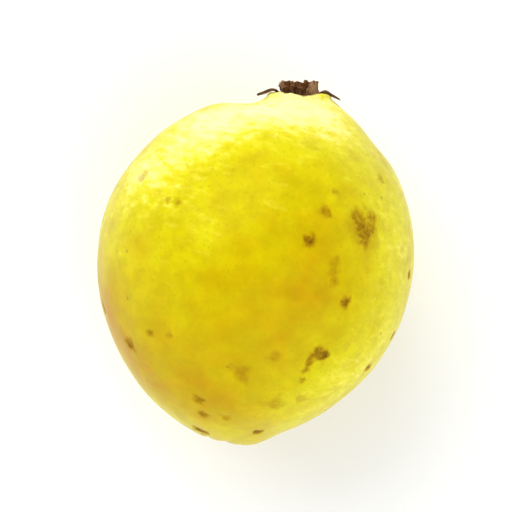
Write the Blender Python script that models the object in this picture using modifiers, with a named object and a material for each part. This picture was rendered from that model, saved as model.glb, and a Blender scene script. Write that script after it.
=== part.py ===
"""A ripe yellow guava, as picked, lying on its side.

The fruit is a soft egg, fuller towards the calyx and narrower at the stem. The dry calyx sits in a cup on
a low collar, and the stub of the stem in a socket at the other end. Every piece is modelled about the
fruit's own axis, with local +Z towards the calyx. One parent empty then lays the whole fruit down: the
calyx points to world +Y, and local -Y is the cheek that faces up. Units are metres.
"""

import math

import bmesh
import bpy
from mathutils import Euler, Vector, noise

MM = 0.001

# The egg. The last three shape how its width changes from the calyx to the stem
BODY_LENGTH = 50.4 * MM
BODY_WIDTH = 45.8 * MM
TAPER = 0.05
POLE_FLATTENING = -0.065
SHOULDER = 0.04
HALF_LENGTH = BODY_LENGTH / 2
BODY_RADIUS = BODY_WIDTH / 2

# Both ends grew a little off the middle of the egg, and the calyx end also a little askew
CALYX_SHIFT = 0.2 * MM
CALYX_LEAN = math.radians(-13)
LEAN_BLEND = 9 * MM
STEM_SHIFT = 1.4 * MM
NOSE_LENGTH = 0.45 * MM
CALYX_BLEND = 10 * MM
STEM_BLEND = 7 * MM

# Low bumps and shoulder ribs of the skin
LUMP_HEIGHT = 0.45 * MM
LUMP_SPACING = 15 * MM
RIB_COUNT = 5
RIB_HEIGHT = 0.22 * MM
RIBS_FULL_FROM = 0.6 * HALF_LENGTH

# The collar and its cup at the calyx end, heights from the egg's pole
CUP_RADIUS = 3.7 * MM
CUP_DEPTH = 1.0 * MM
RIM_THICKNESS = 1.0 * MM
RIM_HEIGHT = 0.8 * MM
COLLAR_FOOT_RADIUS = 7.6 * MM
COLLAR_HOLLOWNESS = 2.4
CUP_FILLET = 0.4 * MM

# The dimple and its socket at the stem end
DIMPLE_RADIUS = 3.8 * MM
DIMPLE_DEPTH = 1.3 * MM
SOCKET_RADIUS = 1.6 * MM
SOCKET_DEPTH = 1.2 * MM
STUB_LENGTH = 1.7 * MM

# Clearance between pieces that touch on the real fruit
GAP = 0.3 * MM

# The calyx ring, and one row for each sepal: azimuth in degrees, length and base width in mm, its tip's width
# as a share of that, the shares of its length where it starts and stops bending, and the degrees that its tip
# leans outwards and is twisted. Two have folded out over the rim, and the other three are torn-off stumps.
RING_INNER_RADIUS = 2.5 * MM
RING_OUTER_RADIUS = CUP_RADIUS - GAP
RING_TOP = 0.9 * MM
SEPAL_THICKNESS = 0.65 * MM
SEPAL_ROOT_HEIGHT = 0.2 * MM
SEPAL_WAVE = 0.1
SEPAL_HOLLOW = 0.16
SEPALS = (
    (-6, 4.3, 3.5, 0.25, 0.05, 0.58, 122, 6),
    (58, 2.6, 3.3, 0.90, 0.20, 1.00, 24, -8),
    (124, 2.6, 3.2, 0.90, 0.30, 1.00, 10, 6),
    (186, 4.6, 3.4, 0.25, 0.05, 0.58, 116, -8),
    (258, 2.6, 4.0, 0.95, 0.25, 1.00, 24, 6),
)

# The dry disc and stamens inside the calyx
DISC_RADIUS = RING_INNER_RADIUS - GAP
DISC_TOP = 0.1 * MM
STAMEN_THICKNESS = 0.4 * MM
STAMEN_LENGTH = 2.3 * MM
STAMEN_COUNT = 13
STYLE_LENGTH = 2.6 * MM
STYLE_THICKNESS = 0.6 * MM
PIN_ROOT_DEPTH = 0.5 * MM
TURN_BETWEEN_STAMENS = math.radians(137.5)

# How it lies: the stem end dips until the weight is over the flat spot
DIP = math.radians(3.5)
FLAT_DEPTH = 0.5 * MM
LAID_DOWN = Euler((DIP - math.pi / 2, 0, 0)).to_matrix()

BODY_STEPS = 64
RING_STEPS = 40
STUB_STEPS = 24
SEPAL_CELLS = 12
MERGE_DISTANCE = 0.00001


def smooth(value):
    """0 to 1 with flat ends, for a value clamped to that range."""
    value = min(max(value, 0.0), 1.0)
    return value * value * (3 - 2 * value)


def fresh_collection(name):
    for old in list(bpy.data.objects):
        bpy.data.objects.remove(old)
    collection = bpy.data.collections.new(name)
    bpy.context.scene.collection.children.link(collection)
    return collection


def make_material(name, colour, roughness):
    material = bpy.data.materials.new(name)
    material.use_nodes = True
    shader = material.node_tree.nodes["Principled BSDF"]
    shader.inputs["Base Color"].default_value = (*colour, 1)
    shader.inputs["Roughness"].default_value = roughness
    shader.inputs["Metallic"].default_value = 0
    return material


def new_object(name, mesh, collection, material):
    made = bpy.data.objects.new(name, mesh)
    mesh.materials.append(material)
    collection.objects.link(made)
    return made


def apply_modifiers(made):
    """Replaces the object's mesh by what its modifiers make of it."""
    graph = bpy.context.evaluated_depsgraph_get()
    graph.update()
    mesh = bpy.data.meshes.new_from_object(made.evaluated_get(graph))
    made.modifiers.clear()
    made.data = mesh


def turn(name, profile, steps, collection, material, ring=False):
    """A turned piece from (radius, height) points that run down its outer side. A ring's profile is closed."""
    mesh = bpy.data.meshes.new(name)
    edges = [(i, i + 1) for i in range(len(profile) - 1)]
    if ring:
        edges.append((len(profile) - 1, 0))
    mesh.from_pydata([(radius, 0, height) for radius, height in profile], edges, [])
    made = new_object(name, mesh, collection, material)
    screw = made.modifiers.new("turned", "SCREW")
    screw.steps = screw.render_steps = steps
    screw.use_merge_vertices = True
    screw.merge_threshold = MERGE_DISTANCE
    apply_modifiers(made)
    return made


def join_with(base, collection):
    """Fuses every object of the collection into the base, in one Boolean union."""
    union = base.modifiers.new("joined", "BOOLEAN")
    union.operation = "UNION"
    union.solver = "MANIFOLD"
    union.operand_type = "COLLECTION"
    union.collection = collection
    apply_modifiers(base)
    for piece in list(collection.objects):
        bpy.data.objects.remove(piece)
    bpy.data.collections.remove(collection)


def egg(angle):
    """Radius and height of the plain egg at an angle from the calyx pole."""
    c = math.cos(angle)
    fullness = 1 + TAPER * c + POLE_FLATTENING * c**2 + SHOULDER * c**3
    return BODY_RADIUS * math.sin(angle) * fullness, HALF_LENGTH * c


def angle_at_radius(radius, near_calyx):
    """The egg's angle where it is this wide, on the calyx side or on the stem side."""
    low, high = (0, math.pi / 2) if near_calyx else (math.pi, math.pi / 2)
    for _ in range(40):
        middle = (low + high) / 2
        if egg(middle)[0] < radius:
            low = middle
        else:
            high = middle
    return low


def cup_and_collar_profile():
    """From the middle of the cup's floor, up its wall, over the rim and down the collar's foot."""
    floor = HALF_LENGTH - CUP_DEPTH
    rim_radius = RIM_THICKNESS / 2
    rim_middle = CUP_RADIUS + rim_radius
    rim_centre = HALF_LENGTH + RIM_HEIGHT - rim_radius
    points = [(0, floor), (CUP_RADIUS - CUP_FILLET, floor), (CUP_RADIUS, floor + CUP_FILLET)]
    rim_steps = 6
    for i in range(rim_steps + 1):
        around = math.pi * (1 - i / rim_steps)
        points.append((rim_middle + rim_radius * math.cos(around), rim_centre + rim_radius * math.sin(around)))
    start = CUP_RADIUS + RIM_THICKNESS
    foot_steps = 7
    for i in range(1, foot_steps):
        along = i / foot_steps
        radius = start + (COLLAR_FOOT_RADIUS - start) * along
        height = egg(angle_at_radius(radius, near_calyx=True))[1]
        points.append((radius, height + (rim_centre - height) * (1 - along) ** COLLAR_HOLLOWNESS))
    return points


def dimple_profile():
    """From the edge of the stem dimple inwards, then up the socket's wall to its middle."""
    points = []
    dimple_steps = 6
    for i in range(1, dimple_steps + 1):
        radius = DIMPLE_RADIUS + (SOCKET_RADIUS - DIMPLE_RADIUS) * i / dimple_steps
        height = egg(angle_at_radius(radius, near_calyx=False))[1]
        points.append((radius, height + DIMPLE_DEPTH * (1 - smooth(radius / DIMPLE_RADIUS))))
    top = -HALF_LENGTH + DIMPLE_DEPTH + SOCKET_DEPTH
    return [*points, (SOCKET_RADIUS, top), (0, top)]


def fruit_profile():
    first = angle_at_radius(COLLAR_FOOT_RADIUS, near_calyx=True)
    last = angle_at_radius(DIMPLE_RADIUS, near_calyx=False)
    steps = 30
    side = [egg(first + (last - first) * i / steps) for i in range(steps + 1)]
    return cup_and_collar_profile() + side + dimple_profile()


def end_weights(point):
    """How far a point belongs to the calyx end and to the stem end, each 0 to 1."""
    radius = math.hypot(point.x, point.y)
    if point.z > 0:
        return 1 - smooth((radius - COLLAR_FOOT_RADIUS) / CALYX_BLEND), 0
    return 0, 1 - smooth((radius - DIMPLE_RADIUS) / STEM_BLEND)


def grown(point):
    """Where a point of the turned body lies on the uneven fruit. The two ends move, but keep their form."""
    calyx, stem = end_weights(point)
    middle = 1 - max(calyx, stem)
    leaning = 1 - smooth((math.hypot(point.x, point.y) - CUP_RADIUS) / LEAN_BLEND) if point.z > 0 else 0
    rib = RIB_HEIGHT * smooth(point.z / RIBS_FULL_FROM) * math.cos(RIB_COUNT * math.atan2(point.y, point.x))
    lump = LUMP_HEIGHT * noise.noise(point / LUMP_SPACING)
    pole = Vector((0, 0, HALF_LENGTH))
    askew = Euler((0, CALYX_LEAN * leaning, 0)).to_matrix()
    moved = pole + askew @ (point - pole) + point.normalized() * (rib + lump) * middle
    moved.x += CALYX_SHIFT * calyx + STEM_SHIFT * stem
    moved.z -= NOSE_LENGTH * stem
    return moved


def make_fruit(collection):
    skin = make_material("guava skin", (0.80, 0.56, 0.01), 0.45)
    fruit = turn("fruit", fruit_profile(), BODY_STEPS, collection, skin)
    shape = bmesh.new()
    shape.from_mesh(fruit.data)
    for vertex in shape.verts:
        vertex.co = grown(vertex.co)
    down = LAID_DOWN.inverted() @ Vector((0, 0, -1))
    lowest = max(vertex.co.dot(down) for vertex in shape.verts)
    everything = shape.verts[:] + shape.edges[:] + shape.faces[:]
    cut = bmesh.ops.bisect_plane(
        shape,
        geom=everything,
        dist=MERGE_DISTANCE,
        plane_co=down * (lowest - FLAT_DEPTH),
        plane_no=down,
        clear_outer=True,
    )
    rim = [item for item in cut["geom_cut"] if isinstance(item, bmesh.types.BMEdge)]
    for edge in rim:
        edge.smooth = False
    bmesh.ops.contextual_create(shape, geom=rim)
    bmesh.ops.recalc_face_normals(shape, faces=shape.faces)
    shape.to_mesh(fruit.data)
    shape.free()
    fruit.data.shade_smooth()
    return fruit


def sepal_point(row, across, along):
    """A point of the sepal's middle sheet. across runs -1 to 1 and along 0 to 1 from root to tip."""
    azimuth, length, width, tip_width, bend_start, bend_end, tip_lean, twist = row
    radius, height = (RING_INNER_RADIUS + RING_OUTER_RADIUS) / 2, SEPAL_ROOT_HEIGHT
    steps = 2 * SEPAL_CELLS
    for i in range(round(steps * along)):
        lean = math.radians(tip_lean) * smooth(((i + 0.5) / steps - bend_start) / (bend_end - bend_start))
        radius += length * MM / steps * math.sin(lean)
        height += length * MM / steps * math.cos(lean)
    narrowing = 1 - (1 - tip_width) * along**2.2
    waviness = 1 - SEPAL_WAVE * across * math.sin(2 * math.pi * along)
    half_width = width * MM / 2 * narrowing * waviness
    turned = math.radians(twist) * along
    side = across * half_width * math.cos(turned)
    height += across * half_width * math.sin(turned)
    # The sheet is hollow across, and twice as much at the root as at the tip
    radius -= SEPAL_HOLLOW * (across * width * MM / 2) ** 2 / RING_OUTER_RADIUS * (2 - along)
    place = Euler((0, 0, math.radians(azimuth))).to_matrix()
    return place @ Vector((radius, side, height))


def make_sepal(row, collection, material):
    """One curled blade, split into triangles before it gets its thickness so that both faces match."""
    shape = bmesh.new()
    bmesh.ops.create_grid(shape, x_segments=5, y_segments=SEPAL_CELLS, size=1)
    for vertex in shape.verts:
        vertex.co = sepal_point(row, vertex.co.x, (vertex.co.y + 1) / 2)
    bmesh.ops.triangulate(shape, faces=shape.faces)
    mesh = bpy.data.meshes.new("sepal")
    shape.to_mesh(mesh)
    shape.free()
    sepal = new_object("sepal", mesh, collection, material)
    thick = sepal.modifiers.new("thick", "SOLIDIFY")
    thick.thickness = SEPAL_THICKNESS
    thick.offset = 0
    apply_modifiers(sepal)
    return sepal


def make_calyx(collection):
    """A ring in the cup, with the sepals growing from it."""
    dry = make_material("dry calyx", (0.10, 0.045, 0.016), 0.8)
    bottom = GAP - CUP_DEPTH
    fillet = 0.2 * MM
    ring = (
        (RING_INNER_RADIUS, RING_TOP - fillet),
        (RING_INNER_RADIUS + fillet, RING_TOP),
        (RING_OUTER_RADIUS - fillet, RING_TOP),
        (RING_OUTER_RADIUS, RING_TOP - fillet),
        (RING_OUTER_RADIUS, bottom + 2 * fillet),
        (RING_OUTER_RADIUS - 2 * fillet, bottom),
        (RING_INNER_RADIUS, bottom),
    )
    calyx = turn("calyx", ring, RING_STEPS, collection, dry, ring=True)
    sepals = bpy.data.collections.new("sepals")
    collection.children.link(sepals)
    for row in SEPALS:
        make_sepal(row, sepals, dry)
    join_with(calyx, sepals)
    seat_on_calyx_end(calyx)
    return calyx


def seat_on_calyx_end(piece):
    piece.location = (CALYX_SHIFT, 0, HALF_LENGTH)
    piece.rotation_euler = (0, CALYX_LEAN, 0)


def make_stamen(index, collection, material):
    """One dry stamen, or the style at index 0, as a short tapered pin that leans inwards."""
    length, thickness = STAMEN_LENGTH, STAMEN_THICKNESS
    if index == 0:
        length, thickness = STYLE_LENGTH, STYLE_THICKNESS
    out = (DISC_RADIUS - thickness) * math.sqrt(index / STAMEN_COUNT)
    azimuth = index * TURN_BETWEEN_STAMENS
    lean = math.radians(8 + 12 * math.sin(2.3 * index))
    root = Vector((out * math.cos(azimuth), out * math.sin(azimuth), DISC_TOP - PIN_ROOT_DEPTH))
    shape = bmesh.new()
    bmesh.ops.create_cone(
        shape, cap_ends=True, segments=5, radius1=thickness / 2, radius2=thickness / 3, depth=length
    )
    inwards = Euler((0, -lean, azimuth)).to_matrix()
    for vertex in shape.verts:
        vertex.co = inwards @ (vertex.co + Vector((0, 0, length / 2))) + root
    mesh = bpy.data.meshes.new("stamen")
    shape.to_mesh(mesh)
    shape.free()
    return new_object("stamen", mesh, collection, material)


def make_stamens(collection):
    """The dry disc on the cup's floor, with its stamens and the style."""
    straw = make_material("dry stamens", (0.30, 0.17, 0.075), 0.85)
    bottom = GAP - CUP_DEPTH
    disc = (
        (0, DISC_TOP),
        (DISC_RADIUS * 0.6, DISC_TOP - 0.05 * MM),
        (DISC_RADIUS - 0.15 * MM, DISC_TOP - 0.15 * MM),
        (DISC_RADIUS, DISC_TOP - 0.35 * MM),
        (DISC_RADIUS, bottom),
        (0, bottom),
    )
    stamens = turn("stamens", disc, STUB_STEPS, collection, straw)
    pins = bpy.data.collections.new("pins")
    collection.children.link(pins)
    for index in range(STAMEN_COUNT):
        make_stamen(index, pins, straw)
    join_with(stamens, pins)
    seat_on_calyx_end(stamens)
    return stamens


def make_stem_stub(collection):
    """What is left of the stem: a short woody plug that ends below the edge of the dimple."""
    wood = make_material("dry stem", (0.16, 0.085, 0.03), 0.85)
    radius = SOCKET_RADIUS - GAP
    top = DIMPLE_DEPTH + SOCKET_DEPTH - GAP
    end = top - STUB_LENGTH
    profile = (
        (0, top),
        (radius, top),
        (radius * 0.94, top - STUB_LENGTH * 0.4),
        (radius * 1.02, end + 0.35 * MM),
        (radius * 0.9, end + 0.08 * MM),
        (radius * 0.5, end),
        (radius * 0.3, end + 0.2 * MM),
        (0, end + 0.25 * MM),
    )
    stub = turn("stem_stub", profile, STUB_STEPS, collection, wood)
    stub.location = (STEM_SHIFT, 0, -HALF_LENGTH - NOSE_LENGTH)
    stub.data.shade_smooth()
    return stub


def lay_down(pieces, collection):
    """Parents the pieces to one empty, which turns them on their side with the flat spot on the ground."""
    guava = bpy.data.objects.new("guava", None)
    guava.rotation_euler = LAID_DOWN.to_euler()
    collection.objects.link(guava)
    for piece in pieces:
        piece.parent = guava
    bpy.context.view_layer.update()
    corners = [piece.matrix_world @ vertex.co for piece in pieces for vertex in piece.data.vertices]
    low = Vector([min(corner[axis] for corner in corners) for axis in range(3)])
    high = Vector([max(corner[axis] for corner in corners) for axis in range(3)])
    guava.location = (-(low.x + high.x) / 2, -(low.y + high.y) / 2, -low.z)


def main():
    collection = fresh_collection("guava")
    pieces = [
        make_fruit(collection),
        make_calyx(collection),
        make_stamens(collection),
        make_stem_stub(collection),
    ]
    lay_down(pieces, collection)


main()
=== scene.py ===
import math
import random

import bmesh
import bpy
import numpy as np
from mathutils import Euler, Matrix, Vector, noise
from mathutils.bvhtree import BVHTree


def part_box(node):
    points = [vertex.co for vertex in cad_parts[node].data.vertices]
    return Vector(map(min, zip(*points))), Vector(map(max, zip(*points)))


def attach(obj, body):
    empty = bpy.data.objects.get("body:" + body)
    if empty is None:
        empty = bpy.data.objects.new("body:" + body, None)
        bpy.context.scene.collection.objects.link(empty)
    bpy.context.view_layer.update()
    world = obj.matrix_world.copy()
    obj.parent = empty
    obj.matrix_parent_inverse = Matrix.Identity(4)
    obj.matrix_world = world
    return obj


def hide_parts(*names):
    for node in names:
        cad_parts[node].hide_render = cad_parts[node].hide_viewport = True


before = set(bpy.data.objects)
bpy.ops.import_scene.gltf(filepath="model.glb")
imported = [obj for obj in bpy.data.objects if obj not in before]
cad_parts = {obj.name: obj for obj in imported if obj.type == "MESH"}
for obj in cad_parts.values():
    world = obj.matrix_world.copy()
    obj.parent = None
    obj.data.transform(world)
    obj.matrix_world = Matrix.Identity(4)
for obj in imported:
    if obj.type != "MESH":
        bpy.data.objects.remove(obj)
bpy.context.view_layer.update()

# The fruit's body grew as one piece: a soft egg of flesh in a thin skin, with a low collar and cup at the
# calyx and a dimple at the stem. It is shaped about its own axis, with +Z towards the calyx, and then laid
# on its side, where it rests on a small flat spot.

MM = 0.001
BODY_LENGTH = 50.4 * MM
BODY_WIDTH = 45.8 * MM
TAPER = 0.05
POLE_FLATTENING = -0.065
SHOULDER = 0.04
HALF_LENGTH = BODY_LENGTH / 2
BODY_RADIUS = BODY_WIDTH / 2

CALYX_SHIFT = 0.2 * MM
CALYX_LEAN = math.radians(-13)
LEAN_BLEND = 9 * MM
CALYX_BLEND = 10 * MM
STEM_SHIFT = 1.4 * MM
STEM_BLEND = 7 * MM
NOSE_LENGTH = 0.45 * MM
LUMP_HEIGHT = 0.45 * MM
LUMP_SPACING = 15 * MM
RIB_COUNT = 5
RIB_HEIGHT = 0.22 * MM
RIBS_FULL_FROM = 0.6 * HALF_LENGTH

CUP_RADIUS = 3.7 * MM
CUP_DEPTH = 1.0 * MM
CUP_FILLET = 0.4 * MM
RIM_THICKNESS = 1.0 * MM
RIM_HEIGHT = 0.8 * MM
COLLAR_FOOT_RADIUS = 7.6 * MM
COLLAR_HOLLOWNESS = 2.4
DIMPLE_RADIUS = 3.8 * MM
DIMPLE_DEPTH = 1.3 * MM
SOCKET_RADIUS = 1.6 * MM
SOCKET_DEPTH = 1.2 * MM

DIP = math.radians(3.5)
FLAT_DEPTH = 0.5 * MM
LAID_DOWN = Euler((DIP - math.pi / 2, 0, 0)).to_matrix()

# The skin's own relief: shallow dents and ripples, the puckers round the stem, and the fine wrinkles and
# the uneven edge of the collar. Here the socket's wall hugs the stem.
DENT_DEPTH = 0.10 * MM
DENT_SPACING = 4.6 * MM
RIPPLE_DEPTH = 0.07 * MM
RIPPLE_SPACING = 2.3 * MM
PEEL_DEPTH = 0.03 * MM
PEEL_SPACING = 0.95 * MM
PUCKER_COUNT = 9
PUCKER_DEPTH = 0.34 * MM
PUCKER_REACH = 5.5 * MM
WRINKLE_COUNT = 22
WRINKLE_DEPTH = 0.08 * MM
CREASE_WANDER = 1.5
CREASE_SHARPNESS = 1.5
WRINKLE_REACH = 1.6 * COLLAR_FOOT_RADIUS
RIM_FOOT = 0.1 * MM
RIM_WEAR = 0.16 * MM
RIM_WEAR_SPACING = 1.3 * MM
RIM_RISE = 0.34 * MM
# Where sepals pressed or tore the rim down: azimuth in degrees and depth in mm
RIM_NOTCHES = ((-78, 0.42), (-6, 0.30), (186, 0.30))
NOTCH_SPREAD = math.radians(24)
SNUG_SOCKET_RADIUS = 1.4 * MM

TURN_STEPS = 64
TURN_CUTS = 5
SIDE_STEPS = 190
MERGE_DISTANCE = 0.001 * MM


def smooth(value):
    """0 to 1 with flat ends, for a value clamped to that range."""
    value = min(max(value, 0.0), 1.0)
    return value * value * (3 - 2 * value)


def egg(angle):
    """Radius and height of the plain egg at an angle from the calyx pole."""
    c = math.cos(angle)
    fullness = 1 + TAPER * c + POLE_FLATTENING * c**2 + SHOULDER * c**3
    return BODY_RADIUS * math.sin(angle) * fullness, HALF_LENGTH * c


def angle_at_radius(radius, near_calyx):
    """The egg's angle where it is this wide, on the calyx side or on the stem side."""
    low, high = (0, math.pi / 2) if near_calyx else (math.pi, math.pi / 2)
    for _ in range(40):
        middle = (low + high) / 2
        if egg(middle)[0] < radius:
            low = middle
        else:
            high = middle
    return low


def cup_and_collar_profile():
    """From the middle of the cup's floor, up its wall, over the rim and down the collar's foot."""
    floor = HALF_LENGTH - CUP_DEPTH
    rim_radius = RIM_THICKNESS / 2
    rim_middle = CUP_RADIUS + rim_radius
    rim_centre = HALF_LENGTH + RIM_HEIGHT - rim_radius
    points = [(0, floor), (CUP_RADIUS - CUP_FILLET, floor), (CUP_RADIUS, floor + CUP_FILLET)]
    rim_steps = 10
    for i in range(rim_steps + 1):
        around = math.pi * (1 - i / rim_steps)
        out, up = rim_radius * math.cos(around), rim_radius * math.sin(around)
        points.append((rim_middle + out, rim_centre + up))
    start = CUP_RADIUS + RIM_THICKNESS
    foot_steps = 16
    for i in range(1, foot_steps):
        along = i / foot_steps
        radius = start + (COLLAR_FOOT_RADIUS - start) * along
        height = egg(angle_at_radius(radius, near_calyx=True))[1]
        points.append((radius, height + (rim_centre - height) * (1 - along) ** COLLAR_HOLLOWNESS))
    return points


def dimple_profile():
    """From the edge of the stem dimple inwards, then up the socket's wall to its middle."""
    points = []
    dimple_steps = 14
    for i in range(1, dimple_steps + 1):
        radius = DIMPLE_RADIUS + (SNUG_SOCKET_RADIUS - DIMPLE_RADIUS) * i / dimple_steps
        height = egg(angle_at_radius(radius, near_calyx=False))[1]
        points.append((radius, height + DIMPLE_DEPTH * (1 - smooth(radius / DIMPLE_RADIUS))))
    top = -HALF_LENGTH + DIMPLE_DEPTH + SOCKET_DEPTH
    wall = [(SNUG_SOCKET_RADIUS, points[-1][1] + (top - points[-1][1]) * i / 4) for i in range(1, 5)]
    return [*points, *wall, (0, top)]


def fruit_profile():
    first = angle_at_radius(COLLAR_FOOT_RADIUS, near_calyx=True)
    last = angle_at_radius(DIMPLE_RADIUS, near_calyx=False)
    side = [egg(first + (last - first) * i / SIDE_STEPS) for i in range(SIDE_STEPS + 1)]
    return cup_and_collar_profile() + side + dimple_profile()


def end_weights(point):
    """How far a point belongs to the calyx end and to the stem end, each 0 to 1."""
    radius = math.hypot(point.x, point.y)
    if point.z > 0:
        return 1 - smooth((radius - COLLAR_FOOT_RADIUS) / CALYX_BLEND), 0
    return 0, 1 - smooth((radius - DIMPLE_RADIUS) / STEM_BLEND)


def creases(point, count):
    """1 along each of this many creases that run to a pole, and 0 between them."""
    turned = count * math.atan2(point.y, point.x) / 2 + CREASE_WANDER * noise.noise(point / DENT_SPACING)
    return (1 - abs(math.sin(turned))) ** CREASE_SHARPNESS


def relief(point):
    """How deep the skin's fine relief is at a point. It fades inside the cup and the socket."""
    radius = math.hypot(point.x, point.y)
    dents = DENT_DEPTH * max(0, noise.noise(point / DENT_SPACING))
    ripples = RIPPLE_DEPTH * (0.5 + 0.5 * noise.noise(point / RIPPLE_SPACING))
    peel = PEEL_DEPTH * (0.5 + 0.5 * noise.noise(point / PEEL_SPACING))
    if point.z > 0:
        on_collar = 1 - smooth((radius - CUP_RADIUS) / (WRINKLE_REACH - CUP_RADIUS))
        wrinkles = WRINKLE_DEPTH * on_collar * creases(point, WRINKLE_COUNT)
        return (dents + ripples + peel + wrinkles) * smooth((radius - CUP_RADIUS) / RIM_THICKNESS)
    near_stem = 1 - smooth((radius - SNUG_SOCKET_RADIUS) / PUCKER_REACH)
    puckers = PUCKER_DEPTH * near_stem * creases(point, PUCKER_COUNT)
    return (dents + ripples + peel + puckers) * smooth((radius - SNUG_SOCKET_RADIUS) / MM)


def grown(point):
    """Where a point of the turned body lies on the uneven fruit. The two ends move, but keep their form."""
    calyx, stem = end_weights(point)
    middle = 1 - max(calyx, stem)
    leaning = 1 - smooth((math.hypot(point.x, point.y) - CUP_RADIUS) / LEAN_BLEND) if point.z > 0 else 0
    rib = RIB_HEIGHT * smooth(point.z / RIBS_FULL_FROM) * math.cos(RIB_COUNT * math.atan2(point.y, point.x))
    lump = LUMP_HEIGHT * noise.noise(point / LUMP_SPACING)
    pole = Vector((0, 0, HALF_LENGTH))
    askew = Euler((0, CALYX_LEAN * leaning, 0)).to_matrix()
    outwards = point.normalized() * ((rib + lump) * middle - relief(point))
    moved = pole + askew @ (point - pole) + outwards
    moved.x += CALYX_SHIFT * calyx + STEM_SHIFT * stem
    moved.z -= NOSE_LENGTH * stem
    rim = smooth((point.z - HALF_LENGTH + RIM_FOOT) / (RIM_HEIGHT - RIM_FOOT))
    worn = RIM_WEAR * noise.noise(point / RIM_WEAR_SPACING)
    for azimuth, depth in RIM_NOTCHES:
        off = math.remainder(math.atan2(point.y, point.x) - math.radians(azimuth), 2 * math.pi)
        worn += depth * MM * math.exp(-((off / NOTCH_SPREAD) ** 2))
    moved.z += rim * (RIM_RISE - worn)
    return moved


def spin_profile(shape, profile, steps, cuts=0, closed=False):
    """Turns (radius, height) points into a surface about Z, then divides each step's arcs by more cuts."""
    verts = [shape.verts.new((radius, 0, height)) for radius, height in profile]
    edges = [shape.edges.new(pair) for pair in zip(verts, verts[1:])]
    if closed:
        edges.append(shape.edges.new((verts[-1], verts[0])))
    bmesh.ops.spin(
        shape,
        geom=verts + edges,
        cent=(0, 0, 0),
        axis=(0, 0, 1),
        angle=2 * math.pi,
        steps=steps,
        use_merge=True,
    )
    bmesh.ops.remove_doubles(shape, verts=shape.verts, dist=MERGE_DISTANCE)
    if cuts:
        full_radius = shape.verts.layers.float.new("full_radius")
        for vertex in shape.verts:
            vertex[full_radius] = vertex.co.xy.length
        arcs = []
        for edge in shape.edges:
            first, second = edge.verts
            level = abs(first.co.z - second.co.z) < MERGE_DISTANCE
            if level and abs(first[full_radius] - second[full_radius]) < MERGE_DISTANCE:
                arcs.append(edge)
        bmesh.ops.subdivide_edges(shape, edges=arcs, cuts=cuts)
        for vertex in shape.verts:
            if vertex.co.xy.length > MERGE_DISTANCE:
                vertex.co.xy *= vertex[full_radius] / vertex.co.xy.length
        shape.verts.layers.float.remove(full_radius)
    bmesh.ops.recalc_face_normals(shape, faces=shape.faces)


def corners(shape):
    """The lowest and highest corner of a bmesh."""
    places = np.array([vertex.co for vertex in shape.verts])
    return Vector(places.min(axis=0)), Vector(places.max(axis=0))


def finish_piece(shape, name, materials, node):
    """Makes the bmesh a piece of the fruit, which stands for one node of the frame."""
    mesh = bpy.data.meshes.new(name)
    shape.to_mesh(mesh)
    shape.free()
    mesh.shade_smooth()
    piece = bpy.data.objects.new(name, mesh)
    bpy.context.scene.collection.objects.link(piece)
    for material in materials:
        mesh.materials.append(material)
    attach(piece, "root")
    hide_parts(node)
    return piece


# Where the collar has torn and healed below the upper side of the calyx
SCAR_AZIMUTH = math.radians(-78)
SCAR_WIDTH = 4.0 * MM
SCAR_REACH = 0.9 * MM
# Cork lines the cup and the socket, edges the rim, and runs out in rays round the stem
CORK_SPACING = 1.2 * MM
CUP_CORK_EDGE = 0.5 * MM
RIM_CORK_REACH = 1.3 * MM
SOCKET_CORK_EDGE = 0.35 * MM
STEM_CORK_REACH = 1.3
STEM_CORK_RAYS = 1.8


def corkiness(point):
    """How corky and brown the skin is at the two ends: in the cup and on its rim, and round the stem."""
    radius = math.hypot(point.x, point.y)
    uneven = 0.5 + 0.9 * noise.noise(point / CORK_SPACING)
    if point.z > 0:
        in_cup = 1 - smooth((radius - CUP_RADIUS) / CUP_CORK_EDGE)
        near_rim = 1 - smooth((radius - CUP_RADIUS) / RIM_CORK_REACH)
        on_rim = smooth((point.z - HALF_LENGTH + RIM_FOOT) / MM) * near_rim
        beside_scar = abs(math.atan2(point.y, point.x) - SCAR_AZIMUTH) * radius / (SCAR_WIDTH / 2)
        below_rim = (radius - CUP_RADIUS) / SCAR_REACH
        scar = 1 - smooth((math.hypot(beside_scar, below_rim) - 0.6) / 0.5)
        return max(in_cup, on_rim * uneven, scar * (0.6 + uneven / 2))
    in_socket = 1 - smooth((radius - SNUG_SOCKET_RADIUS) / SOCKET_CORK_EDGE)
    reach = (STEM_CORK_REACH + STEM_CORK_RAYS * creases(point, PUCKER_COUNT)) * MM
    round_stem = 1 - smooth((radius - SNUG_SOCKET_RADIUS) / reach)
    return max(in_socket, round_stem * (0.45 + uneven / 2))


body = bmesh.new()
spin_profile(body, fruit_profile(), TURN_STEPS, TURN_CUTS)
cork_layer = body.verts.layers.float.new("cork")
for vertex in body.verts:
    vertex[cork_layer] = corkiness(vertex.co)
    vertex.co = LAID_DOWN @ grown(vertex.co)

# Its place comes from the frame's fruit: the same middle and stem end, and the flat spot on the ground
frame_low, frame_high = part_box("fruit")
body_low, body_high = corners(body)
seat = (frame_low + frame_high - body_low - body_high) / 2
seat.y = frame_low.y - body_low.y
seat.z = -body_low.z - FLAT_DEPTH
bmesh.ops.translate(body, vec=seat, verts=body.verts)

LYING = Matrix.Translation(seat) @ LAID_DOWN.to_4x4()
CALYX_TILT = Euler((0, CALYX_LEAN, 0)).to_matrix().to_4x4()
CALYX_SEAT = LYING @ Matrix.Translation((CALYX_SHIFT, 0, HALF_LENGTH)) @ CALYX_TILT
STEM_SEAT = LYING @ Matrix.Translation((STEM_SHIFT, 0, -HALF_LENGTH - NOSE_LENGTH))

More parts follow.
